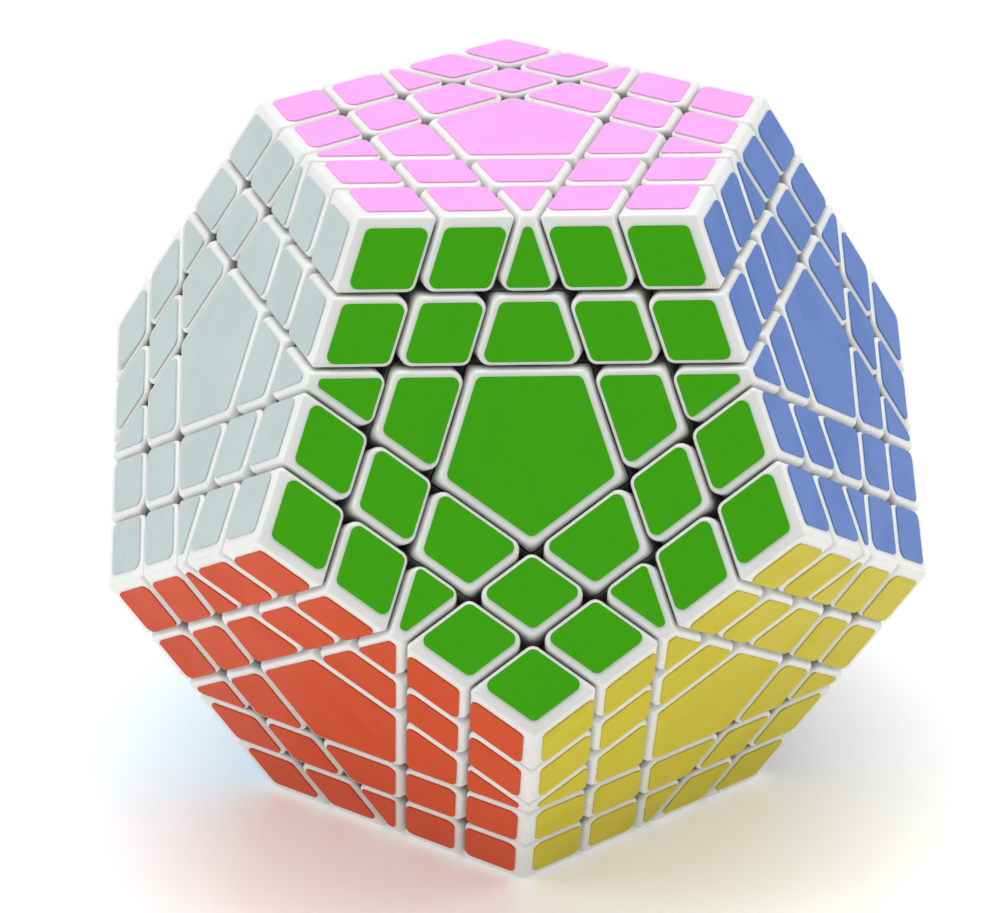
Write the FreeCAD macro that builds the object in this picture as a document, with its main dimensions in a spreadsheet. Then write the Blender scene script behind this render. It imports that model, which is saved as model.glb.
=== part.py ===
"""Twelve-sided twisting puzzle with five layers along every edge.

The solid is a regular dodecahedron standing on one face.  Two cuts run parallel to each of the
twelve faces, an outer one and an inner one, so a face turns alone or together with the layer
under it.  Every cut is a surface of revolution about its face's axis: flat under the skin, then
turning inward as a cone.  Below the caps, each piece carries a foot that reaches under its
neighbour, and the twelve centres are pulled onto a ball core by sprung screws.

Masters are modelled round the middle of the solid, for the top face; the nodes repeat them by
turning, and stand the whole on the floor.  Millimetres, +Z up.
"""
import FreeCAD, Part
import math
import os
import Sketcher
from FreeCAD import Matrix, Placement, Rotation, Vector

doc = FreeCAD.newDocument("dodecahedron_puzzle")

# ---------------------------------------------------------------- driving dimensions
SIZES = (
    ("outer_layer_depth", 9.45, "face to the first cut"),
    ("inner_layer_depth", 8.82, "first cut to the second cut"),
    ("middle_edge_width", 2.045, "middle of the five pieces along an edge, at the edge itself"),
    ("layer_gap", 0.3, "play between neighbouring pieces"),
    ("turn_depth", 1.25, "how far under the skin a flat cut turns inward"),
    ("cap_depth", 13.1, "face to the top of the feet"),
    ("foot_thickness", 6.0, "height of the feet"),
    ("outer_neck_angle", 44.5, "half angle of the outer cut where the necks end"),
    ("outer_foot_angle", 46.5, "half angle of the outer cut between the feet"),
    ("inner_neck_angle", 53.5, "half angle of the inner cut where the necks end"),
    ("inner_foot_angle", 55.5, "half angle of the inner cut between the feet"),
    ("rim_radius", 0.65, "rounding of the caps' upper edges"),
    ("corner_radius", 1.5, "rounding of the caps' upright edges"),
    ("star_depth", 4.5, "depth of the star holes where four caps meet"),
    ("sticker_thickness", 0.2, "vinyl"),
    ("sticker_side_margin", 0.77, "cap's side to the sticker"),
    ("sticker_edge_margin", 1.54, "edge of the solid to the sticker"),
    ("sticker_corner_radius", 1.05, "rounding of the stickers' corners"),
    ("narrow_corner_radius", 0.6, "rounding of the corners of the narrow middle edge stickers"),
    ("lid_thickness", 2.0, "centre lid"),
    ("plug_length", 1.4, "plug of the centre lid"),
    ("plug_fit", 0.05, "radial play of the plug in its pocket"),
    ("pocket_radius", 3.4, "spring pocket in the centre barrel"),
    ("seat_depth", 11.3, "face to the shoulder that the spring sits on"),
    ("bore_fit", 0.08, "radial play of the screw in the centre barrel"),
    ("screw_radius", 1.5, "screw shank"),
    ("screw_length", 26.0, "screw under its head"),
    ("head_radius", 2.8, "screw head"),
    ("head_thickness", 1.8, "screw head"),
    ("head_depth", 4.2, "face to the top of the screw head"),
    ("recess_length", 3.4, "cross recess, end to end"),
    ("recess_width", 0.8, "cross recess, across one arm"),
    ("recess_depth", 1.0, "cross recess"),
    ("washer_radius", 3.1, "washer, outside"),
    ("washer_thickness", 0.5, "washer"),
    ("washer_fit", 0.1, "radial play of the washer on the screw"),
    ("spring_radius", 2.4, "spring, middle of the wire"),
    ("wire_radius", 0.3, "spring wire"),
    ("spring_turns", 5.0, "turns of the spring"),
    ("spring_play", 0.05, "spring to washer and to shoulder"),
    ("core_wall", 3.0, "wall of the ball core"),
    ("boss_radius", 4.5, "screw bosses inside the core"),
    ("boss_overrun", 2.0, "boss past the tip of the screw"),
    ("ring_height", 2.0, "locating ring above and below the core's joint"),
    ("ring_wall", 1.6, "locating ring, radial"),
    ("ring_fit", 0.15, "radial play of the locating ring"),
)
sheet = doc.addObject("Spreadsheet::Sheet", "sizes")
for row, (name, size, note) in enumerate(SIZES, start=1):
    sheet.set(f"A{row}", name)
    sheet.set(f"B{row}", str(size))
    sheet.setAlias(f"B{row}", name)
    sheet.set(f"C{row}", note)
doc.recompute()

# ---------------------------------------------------------------- places worked out from them
DEGREES = math.degrees(1)                              # in a radian
TOLERANCE = 0.001                                      # for points that lie on a face
GOLDEN = (1 + math.sqrt(5)) / 2
INRADIUS = GOLDEN**2 / (2 * math.sqrt(3 - GOLDEN))     # middle to face, for an edge of 1
APOTHEM = 1 / (2 * math.tan(math.radians(36)))         # middle of a face to its side
BETWEEN = math.acos(1 / math.sqrt(5))                  # angle between neighbouring axes
ALONG_EDGE = math.sin(BETWEEN) * math.sin(math.radians(72))    # depth of a cut, for 1 along an edge
RIM_SHARE = 0.42                                       # of a wall that two rims share, at most

# An edge is five pieces long: a corner, a wing, the middle edge, and a wing and a corner again.
EDGE = (f"((sizes.outer_layer_depth + sizes.inner_layer_depth) * {2 / ALONG_EDGE:.9f}"
        f" + sizes.middle_edge_width)")
FACE = f"({EDGE} * {INRADIUS:.9f})"
OUTER_CUT = f"({FACE} - sizes.outer_layer_depth)"
INNER_CUT = f"({OUTER_CUT} - sizes.inner_layer_depth)"
# The rims are limited by the narrow end of the middle edge's cap, which two of them share.
NARROW_END = (f"(sizes.middle_edge_width * {math.cos(math.radians(18)):.9f}"
              f" - sizes.layer_gap / {math.sin(BETWEEN):.9f})")
RIM_RADIUS = f"min(sizes.rim_radius; {NARROW_END} * {RIM_SHARE})"
FOOT_TOP = f"({FACE} - sizes.cap_depth)"
FOOT_BOTTOM = f"({FOOT_TOP} - sizes.foot_thickness)"
CORE_RADIUS = f"({FOOT_BOTTOM} - sizes.layer_gap)"
HALF_GAP = "(sizes.layer_gap / 2)"
HEAD_TOP = f"({FACE} - sizes.head_depth)"
HEAD_UNDER = f"({HEAD_TOP} - sizes.head_thickness)"
SCREW_TIP = f"({HEAD_UNDER} - sizes.screw_length)"
SEAT = f"({FACE} - sizes.seat_depth)"
LID_UNDER = f"({FACE} - sizes.lid_thickness)"
STAND = f"({FACE} + sizes.sticker_thickness)"
FAR = f"({FACE} * 3)"


def value(expression):
    """The number that an expression of the sheet gives."""
    found = sheet.evalExpression(expression)
    return float(getattr(found, "Value", found))


# ---------------------------------------------------------------- the twelve faces
def direction(azimuth, elevation):
    flat = math.cos(elevation)
    return Vector(flat * math.cos(azimuth), flat * math.sin(azimuth), math.sin(elevation))


UPPER = ("front", "right", "back_right", "back_left", "left")
LOWER = ("low_right", "low_back_right", "low_back", "low_back_left", "low_left")
AXES = {"top": Vector(0, 0, 1), "bottom": Vector(0, 0, -1)}
for step in range(5):
    AXES[UPPER[step]] = direction(math.radians(-90 + 72 * step), math.pi / 2 - BETWEEN)
    AXES[LOWER[step]] = direction(math.radians(-54 + 72 * step), BETWEEN - math.pi / 2)


def neighbours(face):
    return [other for other in AXES
            if abs(AXES[face].dot(AXES[other]) - math.cos(BETWEEN)) < TOLERANCE]


def turn(first, second):
    """The rotation that takes the top face to first and the front face to second."""
    def frame(z, towards):
        x = (towards - z * z.dot(towards)).normalize()
        y = z.cross(x)
        return Matrix(x.x, y.x, z.x, 0, x.y, y.y, z.y, 0, x.z, y.z, z.z, 0, 0, 0, 0, 1)
    home = frame(AXES["top"], AXES["front"])
    away = frame(AXES[first], AXES[second])
    return Rotation(away * home.inverse())


def any_turn(face):
    return turn(face, neighbours(face)[0])


# ---------------------------------------------------------------- small helpers
def bind(item, **expressions):
    for name, expression in expressions.items():
        item.setExpression(name.replace("__", "."), expression)
    return item


def make(kind, name, **expressions):
    return bind(doc.addObject(kind, name), **expressions)


copies = {}


def copy_of(item, rotation=Rotation()):
    """A turned copy of a master, shared when the same one is asked for again."""
    key = (item.Name, tuple(round(part, 6) for part in rotation.Q))
    if key not in copies:
        link = doc.addObject("App::Link", item.Name + "_copy")
        link.LinkedObject = item
        link.LinkTransform = True
        link.LinkPlacement = Placement(Vector(), rotation)
        copies[key] = link
    return copies[key]


def common(name, base, tool):
    both = make("Part::Common", name)
    both.Base, both.Tool = base, tool
    return both


def cut(name, base, tool):
    rest = make("Part::Cut", name)
    rest.Base, rest.Tool = base, tool
    return rest


def fuse(name, items):
    whole = make("Part::MultiFuse", name)
    whole.Shapes = items
    whole.Refine = True
    return whole


def plane_of(body, role):
    return next(item for item in body.Origin.OriginFeatures if item.Role == role)


def profile(body, name, points, plane="XZ_Plane"):
    """A closed outline through points, whose places are expressions of the sheet."""
    sketch = body.newObject("Sketcher::SketchObject", name)
    sketch.AttachmentSupport = [(plane_of(body, plane), "")]
    sketch.MapMode = "FlatFace"
    places = [Vector(value(across), value(up), 0) for across, up in points]
    for index, start in enumerate(places):
        sketch.addGeometry(Part.LineSegment(start, places[(index + 1) % len(places)]), False)
    for index in range(len(places)):
        following = (index + 1) % len(places)
        sketch.addConstraint(Sketcher.Constraint("Coincident", index, 2, following, 1))
    for index, (across, up) in enumerate(points):
        for word, expression in (("DistanceX", across), ("DistanceY", up)):
            if expression == "0":
                axis = -2 if word == "DistanceX" else -1
                sketch.addConstraint(Sketcher.Constraint("PointOnObject", index, 1, axis))
                continue
            number = sketch.addConstraint(
                Sketcher.Constraint(word, -1, 1, index, 1, value(expression)))
            sketch.setExpression(f"Constraints[{number}]", expression)
    return sketch


def revolved(name, points):
    """A body of revolution about Z, from an outline given as (radius, height) expressions."""
    body = doc.addObject("PartDesign::Body", name)
    sketch = profile(body, name + "_outline", points)
    feature = body.newObject("PartDesign::Revolution", name + "_turned")
    feature.Profile = sketch
    feature.ReferenceAxis = (sketch, ["V_Axis"])
    feature.Angle = 360
    return body


# ---------------------------------------------------------------- the cuts
def cut_surface(name, level_cut, neck_angle, side):
    """All that lies above a cut, down to the necks: flat under the skin, then a cone."""
    play = f"{side} * {HALF_GAP}"
    reach = (f"(({FACE} - sizes.turn_depth - {level_cut} * {math.cos(BETWEEN):.9f})"
             f" / {math.sin(BETWEEN):.9f} - {play})")
    neck = f"(({neck_angle} - {side} * {DEGREES:.6f} * {HALF_GAP} / {FOOT_TOP}) * 1 deg)"
    level = f"({level_cut} + {play})"
    low = f"({FOOT_BOTTOM} * cos({neck}))"
    return revolved(name, (
        ("0", low), (f"({FOOT_BOTTOM} * sin({neck}))", low), (reach, level),
        (FAR, level), (FAR, FAR), ("0", FAR)))


def foot_cone(name, foot_angle, side):
    """All that lies inside a cut between the feet."""
    angle = f"(({foot_angle} - {side} * {DEGREES:.6f} * {HALF_GAP} / {FOOT_TOP}) * 1 deg)"
    return revolved(name, (
        ("0", "0"), (f"({FAR} * sin({angle}))", f"({FAR} * cos({angle}))"),
        ("0", f"({FAR} * cos({angle}))")))


LEVELS = {"outer": OUTER_CUT, "inner": INNER_CUT}
SIDES = {"within": 1, "beyond": -1}
upper_tool, foot_tool = {}, {}
for level, level_cut in LEVELS.items():
    for side, sign in SIDES.items():
        upper_tool[level, side] = cut_surface(
            f"{level}_cut_{side}", level_cut, f"sizes.{level}_neck_angle", sign)
        foot_tool[level, side] = foot_cone(
            f"{level}_foot_{side}", f"sizes.{level}_foot_angle", sign)

# ---------------------------------------------------------------- the three zones of the solid
solid = None
for face in ("top",) + UPPER:
    slab = make("Part::Box", "slab_" + face, Length=FAR, Width=FAR, Height=f"2 * {FACE}")
    corner = f"vector(-{FAR} / 2; -{FAR} / 2; -{FACE})"
    slab.setExpression("Placement.Base", corner)
    placed = copy_of(slab, any_turn(face))
    solid = placed if solid is None else common("solid_to_" + face, solid, placed)

ball_above = make("Part::Sphere", "ball_above_step", Radius=f"{FOOT_TOP} + {HALF_GAP}")
ball_below = make("Part::Sphere", "ball_below_step", Radius=f"{FOOT_TOP} - {HALF_GAP}")
ball_inside = make("Part::Sphere", "ball_inside", Radius=FOOT_BOTTOM)
cap_zone = cut("cap_zone", solid, ball_above)
step_zone = cut("step_zone", ball_above, ball_below)
foot_zone = cut("foot_zone", ball_below, ball_inside)

# ---------------------------------------------------------------- star holes between the caps
def star_outline(first, second, radius):
    """The star where two cuts cross: four arcs that round the corners of the four caps.

    A cut is (axis of its face, distance).  The star is drawn square to both cuts.
    """
    along = first[0].cross(second[0]).normalize()
    play = value(HALF_GAP)
    arcs = []
    for one, two in ((1, 1), (1, -1), (-1, -1), (-1, 1)):
        out_a, out_b = first[0] * one, second[0] * two
        far_a, far_b = first[1] * one + play, second[1] * two + play
        square = out_a.dot(out_b.cross(along))
        apex = (out_b.cross(along) * far_a + along.cross(out_a) * far_b) / square
        along_a = (out_b - out_a * out_a.dot(out_b)).normalize()
        along_b = (out_a - out_b * out_b.dot(out_a)).normalize()
        half = along_a.getAngle(along_b) / 2
        reach = radius / math.tan(half)
        middle = apex + (along_a + along_b).normalize() * (radius / math.sin(half) - radius)
        ends = [apex + along_a * reach, apex + along_b * reach]
        if one != two:
            ends.reverse()
        arcs.append((ends[0], middle, ends[1]))
    edges = []
    for index, (start, middle, end) in enumerate(arcs):
        edges.append(Part.Arc(start, middle, end).toShape())
        edges.append(Part.LineSegment(end, arcs[(index + 1) % 4][0]).toShape())
    return Part.Face(Part.Wire(edges))


def star_rods():
    """The rods that bore every star hole of the top face, each along its two cuts' common line."""
    rods = []
    ring = neighbours("top")
    for face in ring:
        beside = next(other for other in ring if other in neighbours(face)
                      and AXES["top"].dot(AXES[face].cross(AXES[other])) > 0)
        along = AXES[face].cross(AXES[beside]).normalize()
        depth = along * value("sizes.star_depth")
        for cut_a in LEVELS.values():
            for cut_b in LEVELS.values():
                star = star_outline((AXES[face], value(cut_a)), (AXES[beside], value(cut_b)),
                                    value("sizes.corner_radius"))
                up_to_skin = (value(FACE) - star.CenterOfMass.z) / along.z
                star.translate(along * up_to_skin + depth)
                rods.append(star.extrude(depth * -2))
    return Part.Compound(rods)


stars = doc.addObject("Part::Feature", "star_holes")
stars.Shape = star_rods()

# ---------------------------------------------------------------- the six kinds of cap
# Each kind lies within the outer cut of some faces, between the two cuts of others, and beyond
# the inner cut of the rest that come near it.
KINDS = {
    "corner": (("top", "front", "right"), (), ()),
    "wing": (("top", "front"), ("right",), ()),
    "middle_edge": (("top", "front"), (), ("right", "left")),
    "corner_center": (("top",), ("front", "right"), ()),
    "side_center": (("top",), ("front",), ("right", "left")),
    "center": (("top",), (), tuple(neighbours("top"))),
}


def carve(name, zone, inside, outside, kind):
    """What the kind's cuts leave of one zone."""
    outer, inner, free = KINDS[kind]
    rest = zone
    for face in outer:
        rest = common(f"{name}_in_{face}", rest, copy_of(inside["outer", "within"], any_turn(face)))
    for face in inner:
        rest = common(f"{name}_in_{face}", rest, copy_of(inside["inner", "within"], any_turn(face)))
        rest = cut(f"{name}_off_{face}", rest, copy_of(outside["outer", "beyond"], any_turn(face)))
    for face in free:
        rest = cut(f"{name}_off_{face}", rest, copy_of(outside["inner", "beyond"], any_turn(face)))
    return rest


def on_face(point):
    return max(point.dot(axis) for axis in AXES.values()) > value(FACE) - TOLERANCE


def rim_edges(shape):
    """Numbers of the edges that lie on the skin of the solid."""
    found = []
    for number, edge in enumerate(shape.Edges, start=1):
        middle = edge.valueAt((edge.FirstParameter + edge.LastParameter) / 2)
        if all(on_face(point) for point in [middle] + [v.Point for v in edge.Vertexes]):
            found.append(number)
    return found


blanks, caps = {}, {}
for kind, (outer, inner, free) in KINDS.items():
    blanks[kind] = fuse(kind + "_blank", [
        carve(kind + "_cap", cap_zone, upper_tool, upper_tool, kind),
        carve(kind + "_step", step_zone, upper_tool, foot_tool, kind),
        carve(kind + "_foot", foot_zone, foot_tool, foot_tool, kind)])
    holed = blanks[kind]
    for face in outer:
        holed = cut(f"{kind}_starred_{face}", holed, copy_of(stars, any_turn(face)))
    doc.recompute()
    caps[kind] = doc.addObject("Part::Fillet", kind + "_rounded")
    caps[kind].Base = holed
    radius = value(RIM_RADIUS)
    caps[kind].Edges = [(number, radius, radius) for number in rim_edges(holed.Shape)]
doc.recompute()

# ---------------------------------------------------------------- centre barrel and lid
lid_block = make("Part::Box", "lid_block", Length=FAR, Width=FAR, Height=FAR)
lid_block.setExpression("Placement.Base", f"vector(-{FAR} / 2; -{FAR} / 2; {LID_UNDER})")
plug = make("Part::Cylinder", "lid_plug", Radius="sizes.pocket_radius - sizes.plug_fit",
            Height="sizes.plug_length + sizes.lid_thickness / 2",
            Placement__Base__z=f"{LID_UNDER} - sizes.plug_length")
pocket = make("Part::Cylinder", "spring_pocket", Radius="sizes.pocket_radius", Height=FAR,
              Placement__Base__z=SEAT)
bore = make("Part::Cylinder", "screw_bore", Radius="sizes.screw_radius + sizes.bore_fit",
            Height=FAR, Placement__Base__z=f"{FOOT_BOTTOM} / 2")
center_lid = fuse("center_lid_master", [common("lid_plate", caps["center"], lid_block), plug])
barrel_block = cut("barrel_block", caps["center"], lid_block)
center_barrel = cut("center_barrel_master", cut("barrel_pocketed", barrel_block, pocket), bore)

# ---------------------------------------------------------------- screw, washer and spring
screw_blank = revolved("screw_blank", (
    ("0", SCREW_TIP), ("sizes.screw_radius", f"{SCREW_TIP} + sizes.screw_radius"),
    ("sizes.screw_radius", HEAD_UNDER), ("sizes.head_radius", HEAD_UNDER),
    ("sizes.head_radius", f"{HEAD_TOP} - sizes.head_thickness / 3"),
    ("sizes.head_radius - sizes.head_thickness / 3", HEAD_TOP), ("0", HEAD_TOP)))
screw = screw_blank
for name, length, width in (("slot_x", "recess_length", "recess_width"),
                            ("slot_y", "recess_width", "recess_length")):
    arm = make("Part::Box", "recess_" + name, Length="sizes." + length, Width="sizes." + width,
               Height="sizes.recess_depth * 2")
    arm.setExpression("Placement.Base", f"vector(-sizes.{length} / 2; -sizes.{width} / 2;"
                                        f" {HEAD_TOP} - sizes.recess_depth)")
    screw = cut("screw_with_" + name, screw, arm)

washer_disc = make("Part::Cylinder", "washer_disc", Radius="sizes.washer_radius",
                   Height="sizes.washer_thickness",
                   Placement__Base__z=f"{HEAD_UNDER} - sizes.washer_thickness")
washer_hole = make("Part::Cylinder", "washer_hole", Height=FAR,
                   Radius="sizes.screw_radius + sizes.washer_fit")
washer = cut("washer_master", washer_disc, washer_hole)

SPRING_FOOT = f"({SEAT} + sizes.spring_play + sizes.wire_radius)"
SPRING_RISE = (f"({HEAD_UNDER} - sizes.washer_thickness - sizes.spring_play"
               f" - sizes.wire_radius - {SPRING_FOOT})")
spring_line = make("Part::Helix", "spring_line", Radius="sizes.spring_radius",
                   Height=SPRING_RISE, Pitch=f"{SPRING_RISE} / sizes.spring_turns",
                   Placement__Base__z=SPRING_FOOT)
wire_section = make("Part::Circle", "wire_section", Radius="sizes.wire_radius")
wire_section.setExpression("Placement.Base", f"vector(sizes.spring_radius; 0; {SPRING_FOOT})")
wire_section.setExpression("Placement.Rotation", "rotation(vector(1; 0; 0); 90)")
spring = doc.addObject("Part::Sweep", "spring_master")
spring.Sections = [wire_section]
spring.Spine = (spring_line, ["Edge1"])
spring.Solid = True
spring.Frenet = True

# ---------------------------------------------------------------- ball core in two halves
CORE_HOLLOW = f"({CORE_RADIUS} - sizes.core_wall)"
core_ball = make("Part::Sphere", "core_ball", Radius=CORE_RADIUS)
core_hollow = make("Part::Sphere", "core_hollow", Radius=CORE_HOLLOW)
boss = make("Part::Cylinder", "core_boss", Radius="sizes.boss_radius",
            Height=f"{CORE_RADIUS} - sizes.core_wall / 2 - {SCREW_TIP} + sizes.boss_overrun",
            Placement__Base__z=f"{SCREW_TIP} - sizes.boss_overrun")
screw_hole = make("Part::Cylinder", "core_screw_hole", Radius="sizes.screw_radius", Height=FAR,
                  Placement__Base__z=f"{SCREW_TIP} - sizes.boss_overrun / 2")
shell = cut("core_shell", core_ball, core_hollow)
half_space = make("Part::Box", "core_half_space", Length=FAR, Width=FAR, Height=FAR)
half_space.setExpression("Placement.Base", f"vector(-{FAR} / 2; -{FAR} / 2; 0)")
ring = revolved("core_ring", (
    (f"{CORE_HOLLOW} - sizes.ring_wall", "-sizes.ring_height"),
    (f"{CORE_HOLLOW} + sizes.core_wall / 4", "-sizes.ring_height"),
    (f"{CORE_HOLLOW} + sizes.core_wall / 4", "0"),
    (f"sqrt({CORE_HOLLOW} ^ 2 - sizes.ring_height ^ 2) - sizes.ring_fit", "0"),
    (f"sqrt({CORE_HOLLOW} ^ 2 - sizes.ring_height ^ 2) - sizes.ring_fit", "sizes.ring_height"),
    (f"{CORE_HOLLOW} - sizes.ring_wall", "sizes.ring_height")))


def core_half(name, faces, turned, extra):
    """Half of the core, on the faces' side, with a boss and a screw hole for each."""
    halved = common(name + "_shell", shell, copy_of(half_space, turned))
    whole = fuse(name + "_bossed", [halved] + [copy_of(boss, any_turn(f)) for f in faces] + extra)
    for face in faces:
        whole = cut(f"{name}_drilled_{face}", whole, copy_of(screw_hole, any_turn(face)))
    return whole


core_upper = core_half("core_upper", ("top",) + UPPER, Rotation(), [])
core_lower = core_half("core_lower", ("bottom",) + LOWER, Rotation(Vector(1, 0, 0), 180), [ring])
doc.recompute()

# ---------------------------------------------------------------- stickers
field = make("Part::RegularPolygon", "sticker_field",
             Circumradius=f"({EDGE} * {APOTHEM:.9f} - sizes.sticker_edge_margin"
                          f" + sizes.sticker_side_margin) / {math.cos(math.radians(36)):.9f}",
             Placement__Base__z=f"{FACE} / 2")
field.Polygon = 5
field.setExpression("Placement.Rotation", "rotation(vector(0; 0; 1); 18)")
field_prism = make("Part::Extrusion", "sticker_field_prism", LengthFwd=FACE)
field_prism.Base = field
field_prism.DirMode = "Custom"
field_prism.Dir = Vector(0, 0, 1)
field_prism.Solid = True


def sticker_master(kind, seat):
    """A sticker for one face of a cap: the cap's outline, set in, with rounded corners."""
    name = f"{kind}_sticker_{seat}"
    rounding = "sizes.narrow_corner_radius" if kind == "middle_edge" else "sizes.sticker_corner_radius"
    skin = doc.addObject("Part::Feature", name + "_skin")
    skin.Shape = next(face for face in blanks[kind].Shape.Faces
                      if abs(face.CenterOfMass.dot(AXES[seat]) - value(FACE)) < TOLERANCE)
    outline = common(name + "_field", skin, copy_of(field_prism, any_turn(seat)))
    inset = make("Part::Offset2D", name + "_inset",
                 Value=f"-(sizes.sticker_side_margin + {rounding})")
    inset.Source = outline
    inset.Join = "Intersection"
    rounded = make("Part::Offset2D", name + "_rounded", Value=rounding)
    rounded.Source = inset
    rounded.Join = "Arc"
    sticker = make("Part::Extrusion", name + "_master", LengthFwd="sizes.sticker_thickness")
    sticker.Base = rounded
    sticker.DirMode = "Custom"
    sticker.Dir = AXES[seat]
    sticker.Solid = True
    return sticker


stickers = {(kind, "top"): sticker_master(kind, "top") for kind in KINDS}
stickers["wing", "front"] = sticker_master("wing", "front")

# ---------------------------------------------------------------- where every piece goes
# Three faces that don't touch each other turn, each with its two layers.
LAYERS = {"front": "front", "back": "back_left", "bottom": "bottom"}
COLORS = {
    "top": "pink", "front": "green", "right": "blue", "back_right": "red", "back_left": "cream",
    "left": "grey", "low_right": "yellow", "low_back_right": "black", "low_back": "light_green",
    "low_back_left": "light_blue", "low_left": "orange", "bottom": "purple",
}
UNEVEN = Vector(1, 2, 4)    # every axis reaches a different height along it
nodes = {}


def put(node, master, rotation):
    nodes.setdefault(node, []).append(copy_of(master, rotation))


def group_of(outer, inner):
    """The layer that carries a piece, or fixed for one that none of the three reaches."""
    for layer, face in LAYERS.items():
        if face in outer:
            return layer + "_outer"
        if face in inner:
            return layer + "_inner"
    return "fixed"


def put_sticker(group, master, rotation, face):
    if face in LAYERS.values():
        put(group + "_face_stickers", master, rotation)
    elif group == "fixed":
        put("fixed_" + COLORS[face] + "_stickers", master, rotation)
    else:
        put(group + "_side_stickers", master, rotation)


def put_piece(node, kind, rotation, outer, inner, seats):
    group = group_of(outer, inner)
    put(f"{group}_{node}", caps[kind], rotation)
    for seat, seat_turn, face in seats:
        put_sticker(group, stickers[kind, seat], seat_turn, face)


for i in AXES:
    # the centre, in two parts, with the hardware that holds it
    group = group_of((i,), ())
    put(group + "_center_barrels", center_barrel, any_turn(i))
    put(group + "_center_lids", center_lid, any_turn(i))
    put_sticker(group, stickers["center", "top"], any_turn(i), i)
    put("tension_screws", screw, any_turn(i))
    put("tension_washers", washer, any_turn(i))
    put("tension_springs", spring, any_turn(i))
    for j in neighbours(i):
        put_piece("side_centers", "side_center", turn(i, j), (i,), (j,),
                  [("top", turn(i, j), i)])
        if AXES[i].dot(UNEVEN) > AXES[j].dot(UNEVEN):    # once for each edge
            put_piece("middle_edges", "middle_edge", turn(i, j), (i, j), (),
                      [("top", turn(i, j), i), ("top", turn(j, i), j)])
        for k in neighbours(j):
            if k not in neighbours(i) or AXES[i].dot(AXES[j].cross(AXES[k])) < 0:
                continue
            put_piece("corner_centers", "corner_center", turn(i, j), (i,), (j, k),
                      [("top", turn(i, j), i)])
            put_piece("wings", "wing", turn(i, j), (i, j), (k,),
                      [("top", turn(i, j), i), ("front", turn(i, j), j)])
            if i == max((i, j, k)):    # once for each corner
                put_piece("corners", "corner", turn(i, j), (i, j, k), (),
                          [("top", turn(i, j), i), ("top", turn(j, k), j),
                           ("top", turn(k, i), k)])

nodes["core_upper_half"] = [copy_of(core_upper)]
nodes["core_lower_half"] = [copy_of(core_lower)]

# ---------------------------------------------------------------- nodes, checks and files
parts = []
for label, members in sorted(nodes.items()):
    part = doc.addObject("Part::Compound", "node_" + label)
    part.Label = label
    part.Links = members
    part.setExpression("Placement.Base.z", STAND)
    parts.append((part, len(members)))
doc.recompute()

for item in doc.Objects:
    if {"Invalid", "Error"} & set(item.State):
        raise RuntimeError(f"{item.Label} failed: {item.State}")
for part, count in parts:
    if part.Shape.isNull() or not part.Shape.isValid():
        raise RuntimeError(f"{part.Label} has no valid shape")
    if len(part.Shape.Solids) != count:
        raise RuntimeError(f"{part.Label} holds {len(part.Shape.Solids)} solids, not {count}")

os.makedirs("parts", exist_ok=True)
for part, count in parts:
    part.Shape.exportStep(os.path.join("parts", part.Label + ".step"))
    print(f"{part.Label}: {count} pieces, {part.Shape.Volume / 1000:.2f} cm3")
print(f"{len(parts)} nodes")
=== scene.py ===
# %% [markdown]
# # A twelve-sided twisting puzzle in white plastic with vinyl stickers
#
# The puzzle is a dodecahedron cut into five layers along every edge. Its caps, necks, feet, screws
# and springs come as a ready frame, because they turn against each other with a gap of a few
# tenths of a millimetre and have to be exact. This lesson gives the frame its finish: it sorts the
# vinyl stickers by colour, mixes the plastic, the vinyl and the steel, and sets up the studio.

# %% Load the frame
import math

import bmesh
import bpy
from mathutils import Matrix, Vector


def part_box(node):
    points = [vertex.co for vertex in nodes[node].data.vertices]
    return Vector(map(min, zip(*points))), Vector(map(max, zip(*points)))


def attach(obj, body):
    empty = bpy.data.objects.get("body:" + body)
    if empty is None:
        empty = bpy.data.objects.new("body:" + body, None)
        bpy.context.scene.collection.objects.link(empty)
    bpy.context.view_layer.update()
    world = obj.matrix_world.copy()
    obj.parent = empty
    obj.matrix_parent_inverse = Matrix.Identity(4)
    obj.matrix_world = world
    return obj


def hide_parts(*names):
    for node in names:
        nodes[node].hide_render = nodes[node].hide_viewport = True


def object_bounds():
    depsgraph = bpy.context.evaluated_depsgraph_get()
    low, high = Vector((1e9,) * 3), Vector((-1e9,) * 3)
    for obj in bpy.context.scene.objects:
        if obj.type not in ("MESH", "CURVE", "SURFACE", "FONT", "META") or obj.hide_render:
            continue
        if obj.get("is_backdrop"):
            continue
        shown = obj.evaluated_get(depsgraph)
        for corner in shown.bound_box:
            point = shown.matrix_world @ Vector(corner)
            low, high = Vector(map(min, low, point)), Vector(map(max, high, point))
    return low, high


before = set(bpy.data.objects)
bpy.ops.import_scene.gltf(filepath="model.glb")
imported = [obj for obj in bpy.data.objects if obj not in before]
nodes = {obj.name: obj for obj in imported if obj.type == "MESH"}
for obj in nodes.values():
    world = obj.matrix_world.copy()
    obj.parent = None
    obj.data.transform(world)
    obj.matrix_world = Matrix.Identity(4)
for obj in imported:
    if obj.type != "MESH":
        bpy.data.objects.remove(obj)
frame_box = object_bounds()

# %% [markdown]
# Every cut, cap and sticker lies parallel to one of the twelve faces, so almost everything can be
# found with the twelve directions that the faces look in. One face looks straight up and one
# straight down. The other ten stand in two rings of five, tipped up or down by the angle whose
# tangent is one half. The size is read from the frame's own stickers, so this script follows the
# frame if it is made larger or smaller.

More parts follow.
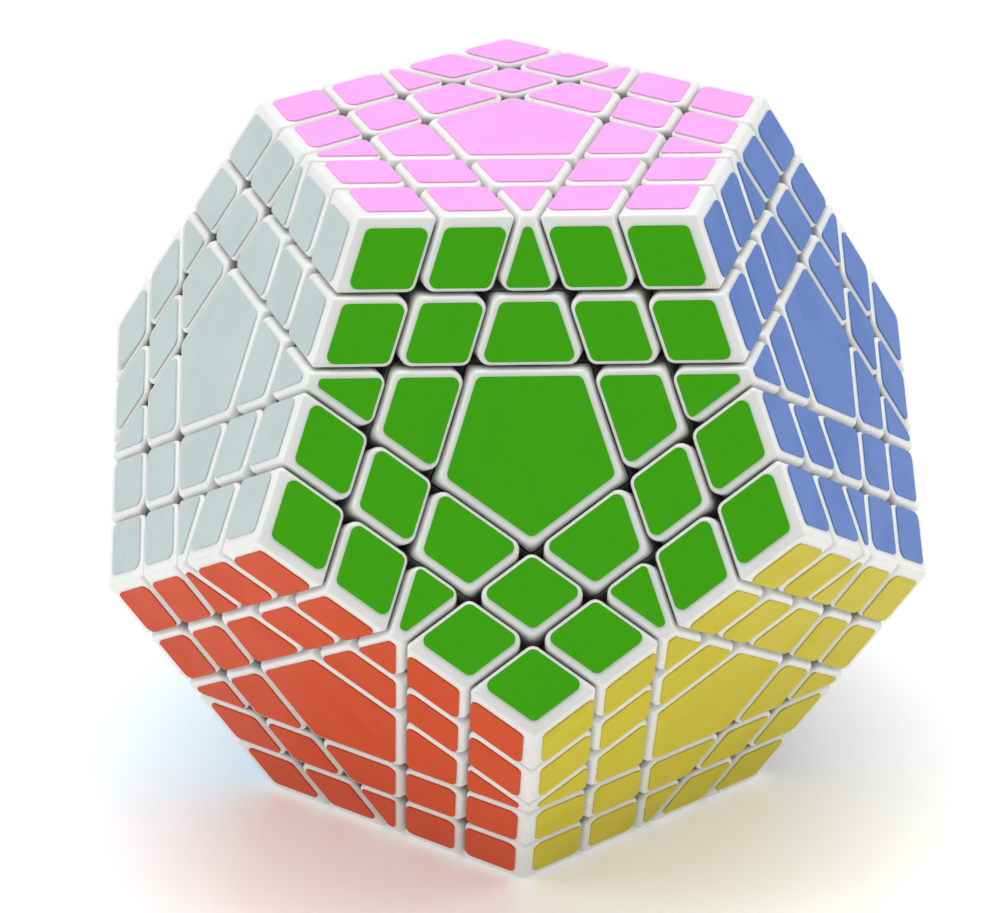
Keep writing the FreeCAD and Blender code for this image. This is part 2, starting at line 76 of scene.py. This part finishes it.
# %% The twelve faces
MM = 0.001
lowest, highest = frame_box
center = Vector((0, 0, (lowest.z + highest.z) / 2))
film_low, film_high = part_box("fixed_pink_stickers")
face_height = film_low.z - center.z
FACE_TILT = math.atan(0.5)
RING_STEP = math.radians(72)
FRONT = math.radians(-90)       # the azimuth of the -Y side


def looking(azimuth, elevation):
    """A unit direction from two angles, the azimuth counted from +X."""
    flat = math.cos(elevation)
    return Vector((flat * math.cos(azimuth), flat * math.sin(azimuth), math.sin(elevation)))


UPPER_RING = ("green", "blue", "red", "cream", "grey")
LOWER_RING = ("yellow", "black", "light_green", "light_blue", "orange")
face_of = {"pink": Vector((0, 0, 1)), "purple": Vector((0, 0, -1))}
for step in range(5):
    upper_azimuth = FRONT + step * RING_STEP
    face_of[UPPER_RING[step]] = looking(upper_azimuth, FACE_TILT)
    face_of[LOWER_RING[step]] = looking(upper_azimuth + RING_STEP / 2, -FACE_TILT)
print(f"faces {face_height / MM:.2f} mm from the centre of the solid")
print(f"vinyl {(film_high.z - film_low.z) / MM:.2f} mm thick")

# %% [markdown]
# ## Small helpers for shader nodes
#
# A material is a small tree of nodes. Three short helpers keep the trees readable: one adds a node
# and fills or links its inputs, one starts a node group with named sockets, and one starts a
# material with its Principled shader. Effects that more than one material needs, such as dust or
# grain, are built once as groups and placed in each material with their own values.

# %% Node helpers
def fill(tree, made, inputs):
    """Link the inputs that are sockets, and set the ones that are plain values."""
    for key, value in inputs.items():
        if isinstance(value, bpy.types.NodeSocket):
            tree.links.new(value, made.inputs[key])
        else:
            made.inputs[key].default_value = value
    return made


def add(tree, kind, settings, inputs):
    """Add a node, set its properties, and fill its inputs."""
    made = tree.nodes.new("ShaderNode" + kind)
    for name, value in settings.items():
        setattr(made, name, value)
    return fill(tree, made, inputs)


def start_group(name, inputs, outputs):
    """A shader node group with number inputs, their defaults, and number outputs."""
    tree = bpy.data.node_groups.new(name, "ShaderNodeTree")
    for label, value in inputs.items():
        socket = tree.interface.new_socket(label, in_out="INPUT", socket_type="NodeSocketFloat")
        socket.default_value = value
    for label in outputs:
        tree.interface.new_socket(label, in_out="OUTPUT", socket_type="NodeSocketFloat")
    return tree, tree.nodes.new("NodeGroupInput").outputs, tree.nodes.new("NodeGroupOutput").inputs


def place(tree, group, inputs):
    """Put a finished group into a tree and return its outputs."""
    made = tree.nodes.new("ShaderNodeGroup")
    made.node_tree = group
    return fill(tree, made, inputs).outputs


def math_node(tree, operation, first, second=0.0):
    """One sum of two values, or of one for an operation that takes only one."""
    return add(tree, "Math", {"operation": operation}, {0: first, 1: second}).outputs[0]


def between(tree, value, lowest_out, highest_out, start=0.0, end=1.0, smooth=False):
    """Turn a value from one range into another."""
    kind = "SMOOTHSTEP" if smooth else "LINEAR"
    inputs = {"Value": value, "From Min": start, "From Max": end,
              "To Min": lowest_out, "To Max": highest_out}
    return add(tree, "MapRange", {"interpolation_type": kind}, inputs).outputs["Result"]


def blend_colors(tree, factor, first, second):
    """Mix two colours, each given as a socket or as red, green, blue."""
    made = add(tree, "Mix", {"data_type": "RGBA"}, {"Factor": factor})
    for label, color in (("A", first), ("B", second)):
        socket = next(s for s in made.inputs if s.name == label and s.type == "RGBA")
        if isinstance(color, bpy.types.NodeSocket):
            tree.links.new(color, socket)
        else:
            socket.default_value = (*color, 1)
    return next(s for s in made.outputs if s.type == "RGBA")


def start_material(name, constants):
    """A material with a Principled shader whose constant values are set on its own sockets."""
    material = bpy.data.materials.new(name)
    material.use_nodes = True
    tree = material.node_tree
    return material, tree, fill(tree, tree.nodes["Principled BSDF"], constants)


def add_bump(tree, shader, height, strength, distance):
    """Let a height disturb the surface of the whole material."""
    made = add(tree, "Bump", {}, {"Height": height, "Strength": strength, "Distance": distance})
    tree.links.new(made.outputs["Normal"], shader.inputs["Normal"])


def linear(red, green, blue):
    """A paint chart's colour, 0 to 255, turned by the usual sRGB curve into what a shader takes."""
    parts = (red / 255, green / 255, blue / 255)
    return tuple(p / 12.92 if p <= 0.04045 else ((p + 0.055) / 1.055) ** 2.4 for p in parts)


print("helpers ready")

# %% [markdown]
# ## How deep a point lies under the skin
#
# The plastic is clean and bright where fingers touch it. Down in the seams and the small
# star-shaped holes its colour is painted towards grey: painted shade for the light that they
# swallow, with the dust that turning rubs off. That needs a value that grows with the depth under
# the skin. A dodecahedron makes it easy: the height of a point is its furthest reach along the six
# axes through the faces, and the depth is what is left to the face. It is worked out from Object
# coordinates, so it turns with a layer that turns.

# %% Depth group, and the seam mask of painted shade and dust
# The seam mask is painted shade with some dust; it is patchy, and where it is thin a share stays.
PATCH_RANGE = (0.35, 0.65)
THIN_DUST_AND_SHADE = 0.72                # share of the dust left where it is patchy
depth_group, _, depth_out = start_group("depth_under_skin", {}, ("Depth",))
spot = add(depth_group, "TexCoord", {}, {}).outputs["Object"]
from_center = add(depth_group, "VectorMath", {"operation": "SUBTRACT"}, {0: spot, 1: center})
reach = 0.0
for color in ("pink",) + UPPER_RING:
    along = add(depth_group, "VectorMath", {"operation": "DOT_PRODUCT"},
                {0: from_center.outputs["Vector"], 1: face_of[color]}).outputs["Value"]
    reach = math_node(depth_group, "MAXIMUM", math_node(depth_group, "ABSOLUTE", along), reach)
depth_group.links.new(math_node(depth_group, "SUBTRACT", face_height, reach), depth_out["Depth"])

# Painted shade and dust: the mask grows with depth in the seams and holes, where the colour is
# painted darker.
dust_and_shade_group, dust_and_shade_in, dust_and_shade_out = start_group(
    "seam_dust", {"Start": 0.5 * MM, "Full": 4 * MM, "Patch Scale": 260.0}, ("Mask",))
depth = place(dust_and_shade_group, depth_group, {})["Depth"]
spot = add(dust_and_shade_group, "TexCoord", {}, {}).outputs["Object"]
patches = add(dust_and_shade_group, "TexNoise", {}, {"Vector": spot, "Scale": dust_and_shade_in["Patch Scale"],
                                           "Detail": 4.0, "Roughness": 0.6}).outputs["Fac"]
deep_dust_and_shade = between(dust_and_shade_group, depth, 0, 1, dust_and_shade_in["Start"], dust_and_shade_in["Full"], smooth=True)
uneven = between(dust_and_shade_group, patches, THIN_DUST_AND_SHADE, 1.0, *PATCH_RANGE)
dust_and_shade_group.links.new(math_node(dust_and_shade_group, "MULTIPLY", deep_dust_and_shade, uneven), dust_and_shade_out["Mask"])
print("groups:", depth_group.name, dust_and_shade_group.name)

# %% [markdown]
# ## Grain and handling
#
# Moulded plastic is never a perfect mirror. A polished mould still leaves a faint unevenness, and
# hands leave wide soft smudges in the gloss with a few fine rubs. Both are noise at the right size:
# the grain at a fifth of a millimetre as a height for a Bump node, and the smudges at a centimetre
# or two as a mask for the roughness. The rub lines are the same noise squeezed along one axis.

# %% Grain and smudge groups
SMUDGE_RANGE = (0.42, 0.68)
RUB_RANGE = (0.64, 0.72)
RUB_STRETCH = (1.0, 1.0, 0.09)
RUB_TURN = (0.5, 0.35, 0.8)
grain_group, grain_in, grain_out = start_group(
    "fine_grain", {"Scale": 2200.0, "Wave Scale": 160.0, "Wave Share": 0.5}, ("Height",))
spot = add(grain_group, "TexCoord", {}, {}).outputs["Object"]
fine = add(grain_group, "TexNoise", {}, {"Vector": spot, "Scale": grain_in["Scale"],
                                         "Detail": 3.0, "Roughness": 0.55}).outputs["Fac"]
wave = add(grain_group, "TexNoise", {}, {"Vector": spot, "Scale": grain_in["Wave Scale"],
                                         "Detail": 1.0}).outputs["Fac"]
waves = math_node(grain_group, "MULTIPLY", wave, grain_in["Wave Share"])
grain_group.links.new(math_node(grain_group, "ADD", fine, waves), grain_out["Height"])

smudge_group, smudge_in, smudge_out = start_group(
    "handling", {"Smudge Scale": 70.0, "Rub Scale": 420.0}, ("Smudge", "Rub"))
spot = add(smudge_group, "TexCoord", {}, {}).outputs["Object"]
wide = add(smudge_group, "TexNoise", {}, {"Vector": spot, "Scale": smudge_in["Smudge Scale"],
                                          "Detail": 5.0, "Roughness": 0.62,
                                          "Distortion": 0.6}).outputs["Fac"]
smudge_group.links.new(between(smudge_group, wide, 0, 1, *SMUDGE_RANGE, smooth=True),
                       smudge_out["Smudge"])
turned = add(smudge_group, "Mapping", {}, {"Vector": spot, "Rotation": RUB_TURN,
                                           "Scale": RUB_STRETCH}).outputs["Vector"]
lines = add(smudge_group, "TexNoise", {}, {"Vector": turned, "Scale": smudge_in["Rub Scale"],
                                           "Detail": 2.0}).outputs["Fac"]
smudge_group.links.new(between(smudge_group, lines, 0, 1, *RUB_RANGE), smudge_out["Rub"])
print("groups:", grain_group.name, smudge_group.name)

# %% [markdown]
# ## White plastic
#
# The caps are moulded in opaque white with a bright gloss. A plain white shader looks like paper,
# so three things break it up: a tone that drifts by a percent or two, a gloss that the smudges
# dull a little, and the grain as a bump far too low to see as a pattern but enough to soften a
# highlight.
# Down in the seams the mask pulls the white towards a dark warm grey: painted shade, with some
# dust.

# %% White plastic
WHITE = linear(235, 236, 233)
WHITE_DRIFT = linear(229, 230, 227)
# A dark warm grey painted into the seams and star holes: painted shade, with some dust.
SEAM_SHADE_GREY = linear(106, 103, 98)
WHITE_GLOSS = (0.22, 0.31)      # roughness where clean, and where handled
RUBBED_MORE = 0.05
DUSTY_MORE = 0.3

white_plastic, tree, shader = start_material(
    "moulded_white_plastic", {"IOR": 1.5, "Specular IOR Level": 0.5})
handling = place(tree, smudge_group, {"Smudge Scale": 55.0, "Rub Scale": 380.0})
dust_and_shade_depths = {"Start": 0.3 * MM, "Full": 2.3 * MM, "Patch Scale": 240.0}
dust_and_shade = place(tree, dust_and_shade_group, dust_and_shade_depths)["Mask"]
grain = place(tree, grain_group, {"Scale": 2400.0, "Wave Scale": 150.0, "Wave Share": 0.6})
drifted = blend_colors(tree, handling["Smudge"], WHITE, WHITE_DRIFT)
# The seams and holes are painted grey here: painted shade, with some dust.
tree.links.new(blend_colors(tree, dust_and_shade, drifted, SEAM_SHADE_GREY), shader.inputs["Base Color"])
gloss = between(tree, handling["Smudge"], *WHITE_GLOSS)
rubbed = math_node(tree, "ADD", gloss, between(tree, handling["Rub"], 0, RUBBED_MORE))
dusty = math_node(tree, "ADD", rubbed, between(tree, dust_and_shade, 0, DUSTY_MORE))
tree.links.new(dusty, shader.inputs["Roughness"])
add_bump(tree, shader, grain["Height"], strength=0.12, distance=0.02 * MM)
print("material:", white_plastic.name)

# %% [markdown]
# ## Vinyl stickers
#
# Each sticker is a film of self-coloured vinyl, die-cut with rounded corners. Vinyl is duller than
# the plastic under it and has a faint leathery skin, so the same grain group is used wider and
# higher, and the gloss starts lower. Hands dull it in wide smudges and leave a few hairlines in
# the gloss, never in the dye. One function makes all twelve, because only the dye changes.

# %% Vinyl
VINYL = {
    "pink": (250, 165, 233), "green": (64, 168, 8), "blue": (88, 123, 192),
    "red": (190, 24, 30), "cream": (240, 228, 184), "grey": (188, 202, 202),
    "yellow": (205, 189, 26), "black": (26, 26, 28), "light_green": (148, 208, 84),
    "light_blue": (120, 196, 228), "orange": (208, 69, 6), "purple": (104, 46, 140),
}
DRIFT_DARKER = 0.95
VINYL_GLOSS = (0.38, 0.47)
VINYL_RUBBED_MORE = 0.06


def vinyl(name, chart_color):
    """Vinyl film in one colour, with its drift of tone, dulled gloss and leathery skin."""
    material, tree, shader = start_material(
        f"{name}_vinyl", {"IOR": 1.46, "Specular IOR Level": 0.17})
    dye = linear(*chart_color)
    deeper = tuple(DRIFT_DARKER * part for part in dye)
    handling = place(tree, smudge_group, {"Smudge Scale": 85.0, "Rub Scale": 520.0})
    grain = place(tree, grain_group, {"Scale": 1500.0, "Wave Scale": 220.0, "Wave Share": 0.4})
    tree.links.new(blend_colors(tree, handling["Smudge"], dye, deeper),
                   shader.inputs["Base Color"])
    gloss = between(tree, handling["Smudge"], *VINYL_GLOSS)
    rubbed = math_node(tree, "ADD", gloss, between(tree, handling["Rub"], 0, VINYL_RUBBED_MORE))
    tree.links.new(rubbed, shader.inputs["Roughness"])
    add_bump(tree, shader, grain["Height"], strength=0.2, distance=0.03 * MM)
    return material


films = {name: vinyl(name, chart_color) for name, chart_color in VINYL.items()}
print("vinyl in", len(films), "colours")

# %% [markdown]
# ## The hidden parts
#
# The ball in the middle is moulded in a darker, duller plastic, and twelve steel screws, washers
# and springs hold the centres to it. They only show when the puzzle is taken apart, but they get a
# true finish all the same: turned steel with fine lines round the shank, and spring wire that is
# darker and slightly oily.

# %% Core plastic and steel
CORE_GREY = linear(70, 72, 76)
CORE_GREY_WORN = linear(84, 86, 90)
CORE_GLOSS = (0.42, 0.55)
core_plastic, tree, shader = start_material("moulded_core_plastic", {"IOR": 1.5})
handling = place(tree, smudge_group, {"Smudge Scale": 120.0, "Rub Scale": 600.0})
grain = place(tree, grain_group, {"Scale": 1800.0, "Wave Scale": 200.0, "Wave Share": 0.3})
tree.links.new(blend_colors(tree, handling["Smudge"], CORE_GREY, CORE_GREY_WORN),
               shader.inputs["Base Color"])
tree.links.new(between(tree, handling["Smudge"], *CORE_GLOSS), shader.inputs["Roughness"])
add_bump(tree, shader, grain["Height"], strength=0.3, distance=0.04 * MM)


def steel(name, chart_color, dulled_color, gloss):
    """Bare steel with fine turning lines and a dulled bloom."""
    material, tree, shader = start_material(name, {"Metallic": 1.0})
    handling = place(tree, smudge_group, {"Smudge Scale": 400.0, "Rub Scale": 2500.0})
    grain = place(tree, grain_group, {"Scale": 6000.0, "Wave Scale": 900.0, "Wave Share": 0.3})
    bloom = blend_colors(tree, handling["Smudge"], linear(*chart_color), linear(*dulled_color))
    tree.links.new(bloom, shader.inputs["Base Color"])
    worn = math_node(tree, "MAXIMUM", handling["Smudge"], handling["Rub"])
    tree.links.new(between(tree, worn, *gloss), shader.inputs["Roughness"])
    add_bump(tree, shader, grain["Height"], strength=0.2, distance=0.01 * MM)
    return material


finishes = {
    "white_plastic": white_plastic,
    "core_plastic": core_plastic,
    "screw_steel": steel("turned_screw_steel", (196, 196, 192), (168, 167, 162), (0.22, 0.38)),
    "washer_steel": steel("pressed_washer_steel", (204, 204, 202), (180, 180, 176), (0.28, 0.42)),
    "spring_steel": steel("drawn_spring_wire", (150, 148, 142), (118, 115, 108), (0.24, 0.36)),
}
finishes.update({f"sticker_{name}": film for name, film in films.items()})
print("finishes:", ", ".join(sorted(finishes)))

# %% [markdown]
# ## Give the frame its finishes
#
# Every node of the frame has one material slot, named for what it is made of. The shapes are right
# as they are, so only the slots are filled. The stickers round the sides of a turning layer are the
# exception: one node holds the stickers of five faces, so it can't have one colour.

# %% Finish the frame's nodes
mixed = []
for name, item in nodes.items():
    slot = item.material_slots[0].material.name
    if slot in finishes:
        item.material_slots[0].material = finishes[slot]
    else:
        mixed.append(name)
print("finished", len(nodes) - len(mixed), "nodes; mixed colours on", ", ".join(sorted(mixed)))

# %% [markdown]
# ## Sort the side stickers by colour
#
# When a layer turns, it carries the stickers that it has on the five faces around it. They could
# be recoloured with a mask in the shader, but a vinyl sticker has one colour all through, and a
# piece of its own for each colour is how a maker would lay them out. A copy of the node is welded
# first, because its triangles are loose. Each triangle then belongs to the face whose direction it
# reaches furthest along, and the other colours' triangles are deleted from that colour's piece.

# %% Side stickers in their own colours
WELD = 0.001 * MM


def own_color(point):
    """The colour of the face that a point of a sticker lies on."""
    return max(face_of, key=lambda color: (point - center).dot(face_of[color]))


def film_piece(name, source, color):
    """A copy of a mixed node with only the stickers of one colour left in it."""
    shape = bmesh.new()
    shape.from_mesh(source.data)
    bmesh.ops.remove_doubles(shape, verts=shape.verts[:], dist=WELD)
    others = [f for f in shape.faces if own_color(f.calc_center_median()) != color]
    bmesh.ops.delete(shape, geom=others, context="FACES")
    mesh = bpy.data.meshes.new(name)
    shape.to_mesh(mesh)
    shape.free()
    mesh.materials.append(films[color])
    piece = bpy.data.objects.new(name, mesh)
    bpy.context.scene.collection.objects.link(piece)
    return piece


for node_name in sorted(mixed):
    body = node_name.replace("_side_stickers", "")
    source = nodes[node_name]
    colors = sorted({own_color(corner.co) for corner in source.data.vertices})
    for color in colors:
        piece = film_piece(f"{node_name}_{color}", source, color)
        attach(piece, body)
        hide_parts(node_name)
    print(f"{node_name}: {', '.join(colors)}")

# %% [markdown]
# ## Studio
#
# The puzzle stands on a sheet of white acrylic, lit a little from below, that fades into a white
# room. Acrylic gives the soft reflection under the lowest corner, and the glow keeps the broad
# shadow pale and without an edge. The light is plain: a bright room all round, one large softbox
# overhead and a little behind, and two weaker ones at the sides, so the top is the brightest face
# and the front the calmest. Large lamps far away keep the white even right across the floor.

# %% Floor
FLOOR_REACH = 20.0
shape = bmesh.new()
bmesh.ops.create_grid(shape, x_segments=1, y_segments=1, size=FLOOR_REACH)
floor_mesh = bpy.data.meshes.new("studio_floor")
shape.to_mesh(floor_mesh)
shape.free()
floor = bpy.data.objects.new("studio_floor", floor_mesh)
bpy.context.scene.collection.objects.link(floor)
floor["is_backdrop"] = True

TABLE_WHITE = linear(247, 247, 247)
TABLE_GLOW = 0.2
TABLE_GLOSS = (0.16, 0.24)
acrylic, tree, shader = start_material("white_acrylic", {
    "IOR": 1.49, "Specular IOR Level": 0.35, "Base Color": (*TABLE_WHITE, 1),
    "Emission Color": (1, 1, 1, 1), "Emission Strength": TABLE_GLOW})
spot = add(tree, "TexCoord", {}, {}).outputs["Object"]
haze = add(tree, "TexNoise", {}, {"Vector": spot, "Scale": 9.0, "Detail": 4.0}).outputs["Fac"]
tree.links.new(between(tree, haze, *TABLE_GLOSS), shader.inputs["Roughness"])
floor_mesh.materials.append(acrylic)
print("floor laid at z = 0")

# %% Light
ROOM_LIGHT = 0.43
world = bpy.data.worlds.new("white_room")
world.use_nodes = True
world.node_tree.nodes["Background"].inputs["Color"].default_value = (1, 1, 1, 1)
world.node_tree.nodes["Background"].inputs["Strength"].default_value = ROOM_LIGHT
bpy.context.scene.world = world


def softbox(name, place_at, width, watts):
    """A square area lamp that points at the centre of the puzzle."""
    lamp = bpy.data.lights.new(name, "AREA")
    lamp.shape = "SQUARE"
    lamp.size = width
    lamp.energy = watts
    holder = bpy.data.objects.new(name, lamp)
    holder.location = place_at
    holder.rotation_euler = (center - Vector(place_at)).to_track_quat("-Z", "Y").to_euler()
    bpy.context.scene.collection.objects.link(holder)


SOFTBOXES = (    # name, place and width in metres, watts
    ("overhead_softbox", (0.0, 0.3, 2.0), 1.7, 30.0),
    ("left_softbox", (-2.0, -0.3, 1.0), 1.3, 13.0),
    ("right_softbox", (2.0, 0.1, 1.1), 1.3, 11.0),
)
for lamp_details in SOFTBOXES:
    softbox(*lamp_details)
bpy.context.scene.view_settings.view_transform = "Standard"
print("room light", ROOM_LIGHT, "and", len(SOFTBOXES), "softboxes")

# %% [markdown]
# ## Camera
#
# A long lens from half a metre away, level with a grown-up's eye over a table, looks almost
# straight at the green face. The camera is placed with plain words: where it aims, from which
# azimuth and elevation, how far away, and how much it is rolled.

# %% Camera
AIM = center + Vector((-2.107, -0.476, -1.123)) * MM
VIEW_AZIMUTH = math.radians(-92.4946)
VIEW_ELEVATION = math.radians(26.7893)
VIEW_DISTANCE = 518.717 * MM
VIEW_ROLL = math.radians(0.3917)
SENSOR_WIDTH = 36.0
LENS = 127.087

lens = bpy.data.cameras.new("studio_camera")
lens.sensor_width = SENSOR_WIDTH
lens.lens = LENS
lens.clip_start = 0.01
lens.clip_end = 100.0
camera = bpy.data.objects.new("studio_camera", lens)
outward = looking(VIEW_AZIMUTH, VIEW_ELEVATION)
camera.location = AIM + VIEW_DISTANCE * outward
level = (-outward).to_track_quat("-Z", "Y").to_matrix()
camera.rotation_euler = (level @ Matrix.Rotation(VIEW_ROLL, 3, "Z")).to_euler()
bpy.context.scene.collection.objects.link(camera)
bpy.context.scene.camera = camera
print("camera at", [round(part, 4) for part in camera.location])

# %% [markdown]
# ## Measure and finish
#
# The stickers were the only new pieces, so the finished puzzle fills exactly the box that the
# frame filled. Both boxes are kept, and the last line prints the finished size.

# %% Measure and finish
finished_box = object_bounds()
width, depth_of, height = [(b - a) / MM for a, b in zip(*finished_box)]
print(f"finished size {width:.1f} x {depth_of:.1f} x {height:.1f} mm")
